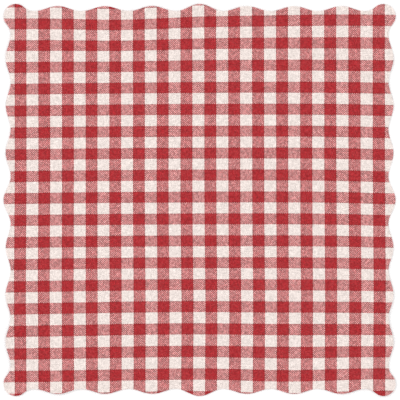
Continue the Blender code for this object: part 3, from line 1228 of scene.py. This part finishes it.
class TABLECLOTH_OT_face_cloth(bpy.types.Operator):
    """Make the face cloth, with its scalloped edge turned under"""

    bl_idname = "tablecloth.face_cloth"
    bl_label = "Face Cloth"

    def execute(self, context):
        sizes, weave = context.scene.tablecloth_sizes, context.scene.tablecloth_weave
        cloth = make_face_cloth(sizes, weave, face_gingham(context.scene))
        declare(cloth, "face_cloth")
        return {"FINISHED"}


class TABLECLOTH_OT_facings(bpy.types.Operator):
    """Make the four mitred facing strips under the edge"""

    bl_idname = "tablecloth.facings"
    bl_label = "Facings"

    def execute(self, context):
        sizes, weave = context.scene.tablecloth_sizes, context.scene.tablecloth_weave
        for side in SIDES:
            strip = make_facing(sizes, weave, side, facing_gingham(context.scene))
            declare(strip, f"facing_{side}")
        return {"FINISHED"}


class TABLECLOTH_OT_edge_seam(bpy.types.Operator):
    """Sew the seam that joins face cloth and facing"""

    bl_idname = "tablecloth.edge_seam"
    bl_label = "Edge Seam"

    def execute(self, context):
        path = edge_seam_path(context.scene.tablecloth_sizes)
        declare_thread(context, "edge_seam_thread", "edge_seam", path)
        return {"FINISHED"}


class TABLECLOTH_OT_hem_stitches(bpy.types.Operator):
    """Slip-stitch each facing's inner edge to the face cloth"""

    bl_idname = "tablecloth.hem_stitches"
    bl_label = "Hem Stitches"

    def execute(self, context):
        for side in SIDES:
            path = hem_stitch_path(context.scene.tablecloth_sizes, side)
            name = f"hem_stitch_{side}"
            declare_thread(context, f"{name}_thread", name, path)
        return {"FINISHED"}


class TABLECLOTH_OT_mitre_seams(bpy.types.Operator):
    """Sew the facing strips together at the corners"""

    bl_idname = "tablecloth.mitre_seams"
    bl_label = "Mitre Seams"

    def execute(self, context):
        for side, following in neighbouring_sides():
            path = mitre_stitch_path(context.scene.tablecloth_sizes, side)
            name = f"mitre_seam_{side}_{following}"
            declare_thread(context, f"{name}_thread", name, path)
        return {"FINISHED"}


def outline_area(sizes, grown_by):
    """The area inside the outline when it is moved out by grown_by."""
    x, y = ring_points(sizes, scalloped(-grown_by)).T
    return abs(np.dot(x, np.roll(y, -1)) - np.dot(y, np.roll(x, -1))) / 2


class TABLECLOTH_OT_declare_cloth(bpy.types.Operator):
    """Work out the area inside the face cloth's outline grown by its turned allowance and fold;
    the area is not kept
    """

    bl_idname = "tablecloth.declare_cloth"
    bl_label = "State Flat Sizes"

    def execute(self, context):
        sizes = context.scene.tablecloth_sizes
        turned = sizes.allowance
        around = math.pi * sizes.face_thickness / 2
        outline_area(sizes, turned + around)
        return {"FINISHED"}


FLOOR_SIZE = 8.0
FLOOR_DROP = 0.0001  # the floor lies this far below the cloth, so that they don't touch
SOFTBOX_SIZE = 3.2
SOFTBOX_PLACE = (-4.4, 3.2, 4.8)


def make_floor(colours):
    bpy.ops.mesh.primitive_plane_add(size=FLOOR_SIZE, location=(0, 0, -FLOOR_DROP))
    floor = bpy.context.object
    floor.name = "table_top"
    material, _, shader = new_material(
        "table_top_white", roughness=0.95, sheen=0.0, specular=0.1
    )
    feed(shader.inputs["Base Color"], colours.floor)
    floor.data.materials.append(material)


def make_lights(stage):
    world = bpy.data.worlds.new("studio")
    world.use_nodes = True
    sky = world.node_tree.nodes["Background"]
    feed(sky.inputs["Color"], Color((1, 1, 1)))
    feed(sky.inputs["Strength"], stage.sky)
    bpy.context.scene.world = world
    light = bpy.data.lights.new("softbox", "AREA")
    light.energy = stage.softbox
    light.shape = "DISK"
    light.size = SOFTBOX_SIZE
    lamp = bpy.data.objects.new("softbox", light)
    lamp.location = SOFTBOX_PLACE
    lamp.rotation_euler = (-lamp.location).to_track_quat("-Z", "Y").to_euler()
    bpy.context.scene.collection.objects.link(lamp)


def make_camera(stage):
    data = bpy.data.cameras.new("camera")
    data.lens = stage.lens
    distance = stage.view_width * data.lens / data.sensor_width
    camera = bpy.data.objects.new("camera", data)
    camera.location = (stage.camera_x, 0, distance)
    scene = bpy.context.scene
    scene.collection.objects.link(camera)
    scene.camera = camera
    scene.view_settings.view_transform = "Standard"
    scene.cycles.use_denoising = False  # it would smooth the weave away


class TABLECLOTH_OT_stage(bpy.types.Operator):
    """Make the table top, the soft light and the camera straight above"""

    bl_idname = "tablecloth.stage"
    bl_label = "Stage"

    def execute(self, context):
        make_floor(context.scene.tablecloth_colours)
        make_lights(context.scene.tablecloth_stage)
        make_camera(context.scene.tablecloth_stage)
        return {"FINISHED"}


OPERATORS = (
    TABLECLOTH_OT_stage,
    TABLECLOTH_OT_settle,
    TABLECLOTH_OT_face_cloth,
    TABLECLOTH_OT_facings,
    TABLECLOTH_OT_edge_seam,
    TABLECLOTH_OT_hem_stitches,
    TABLECLOTH_OT_mitre_seams,
    TABLECLOTH_OT_declare_cloth,
)


class TABLECLOTH_PT_panel(bpy.types.Panel):
    """The tablecloth's sizes, colours and pieces"""

    bl_idname = "TABLECLOTH_PT_panel"
    bl_label = "Tablecloth"
    bl_space_type = "VIEW_3D"
    bl_region_type = "UI"
    bl_category = "Tablecloth"

    def draw(self, context):
        for operator in OPERATORS:
            self.layout.operator(operator.bl_idname)
        for name, group in SETTINGS.items():
            box = self.layout.box()
            box.label(text=group.__doc__)
            for setting in group.__annotations__:
                box.prop(getattr(context.scene, name), setting)


CLASSES = (*SETTINGS.values(), *OPERATORS, TABLECLOTH_PT_panel)


def register():
    for cls in CLASSES:
        bpy.utils.register_class(cls)
    for name, group in SETTINGS.items():
        setattr(bpy.types.Scene, name, PointerProperty(type=group))


def unregister():
    for name in SETTINGS:
        delattr(bpy.types.Scene, name)
    for cls in reversed(CLASSES):
        bpy.utils.unregister_class(cls)


def main():
    register()
    for operator in OPERATORS:
        category, action = operator.bl_idname.split(".")
        getattr(getattr(bpy.ops, category), action)()


if __name__ == "__main__":
    main()
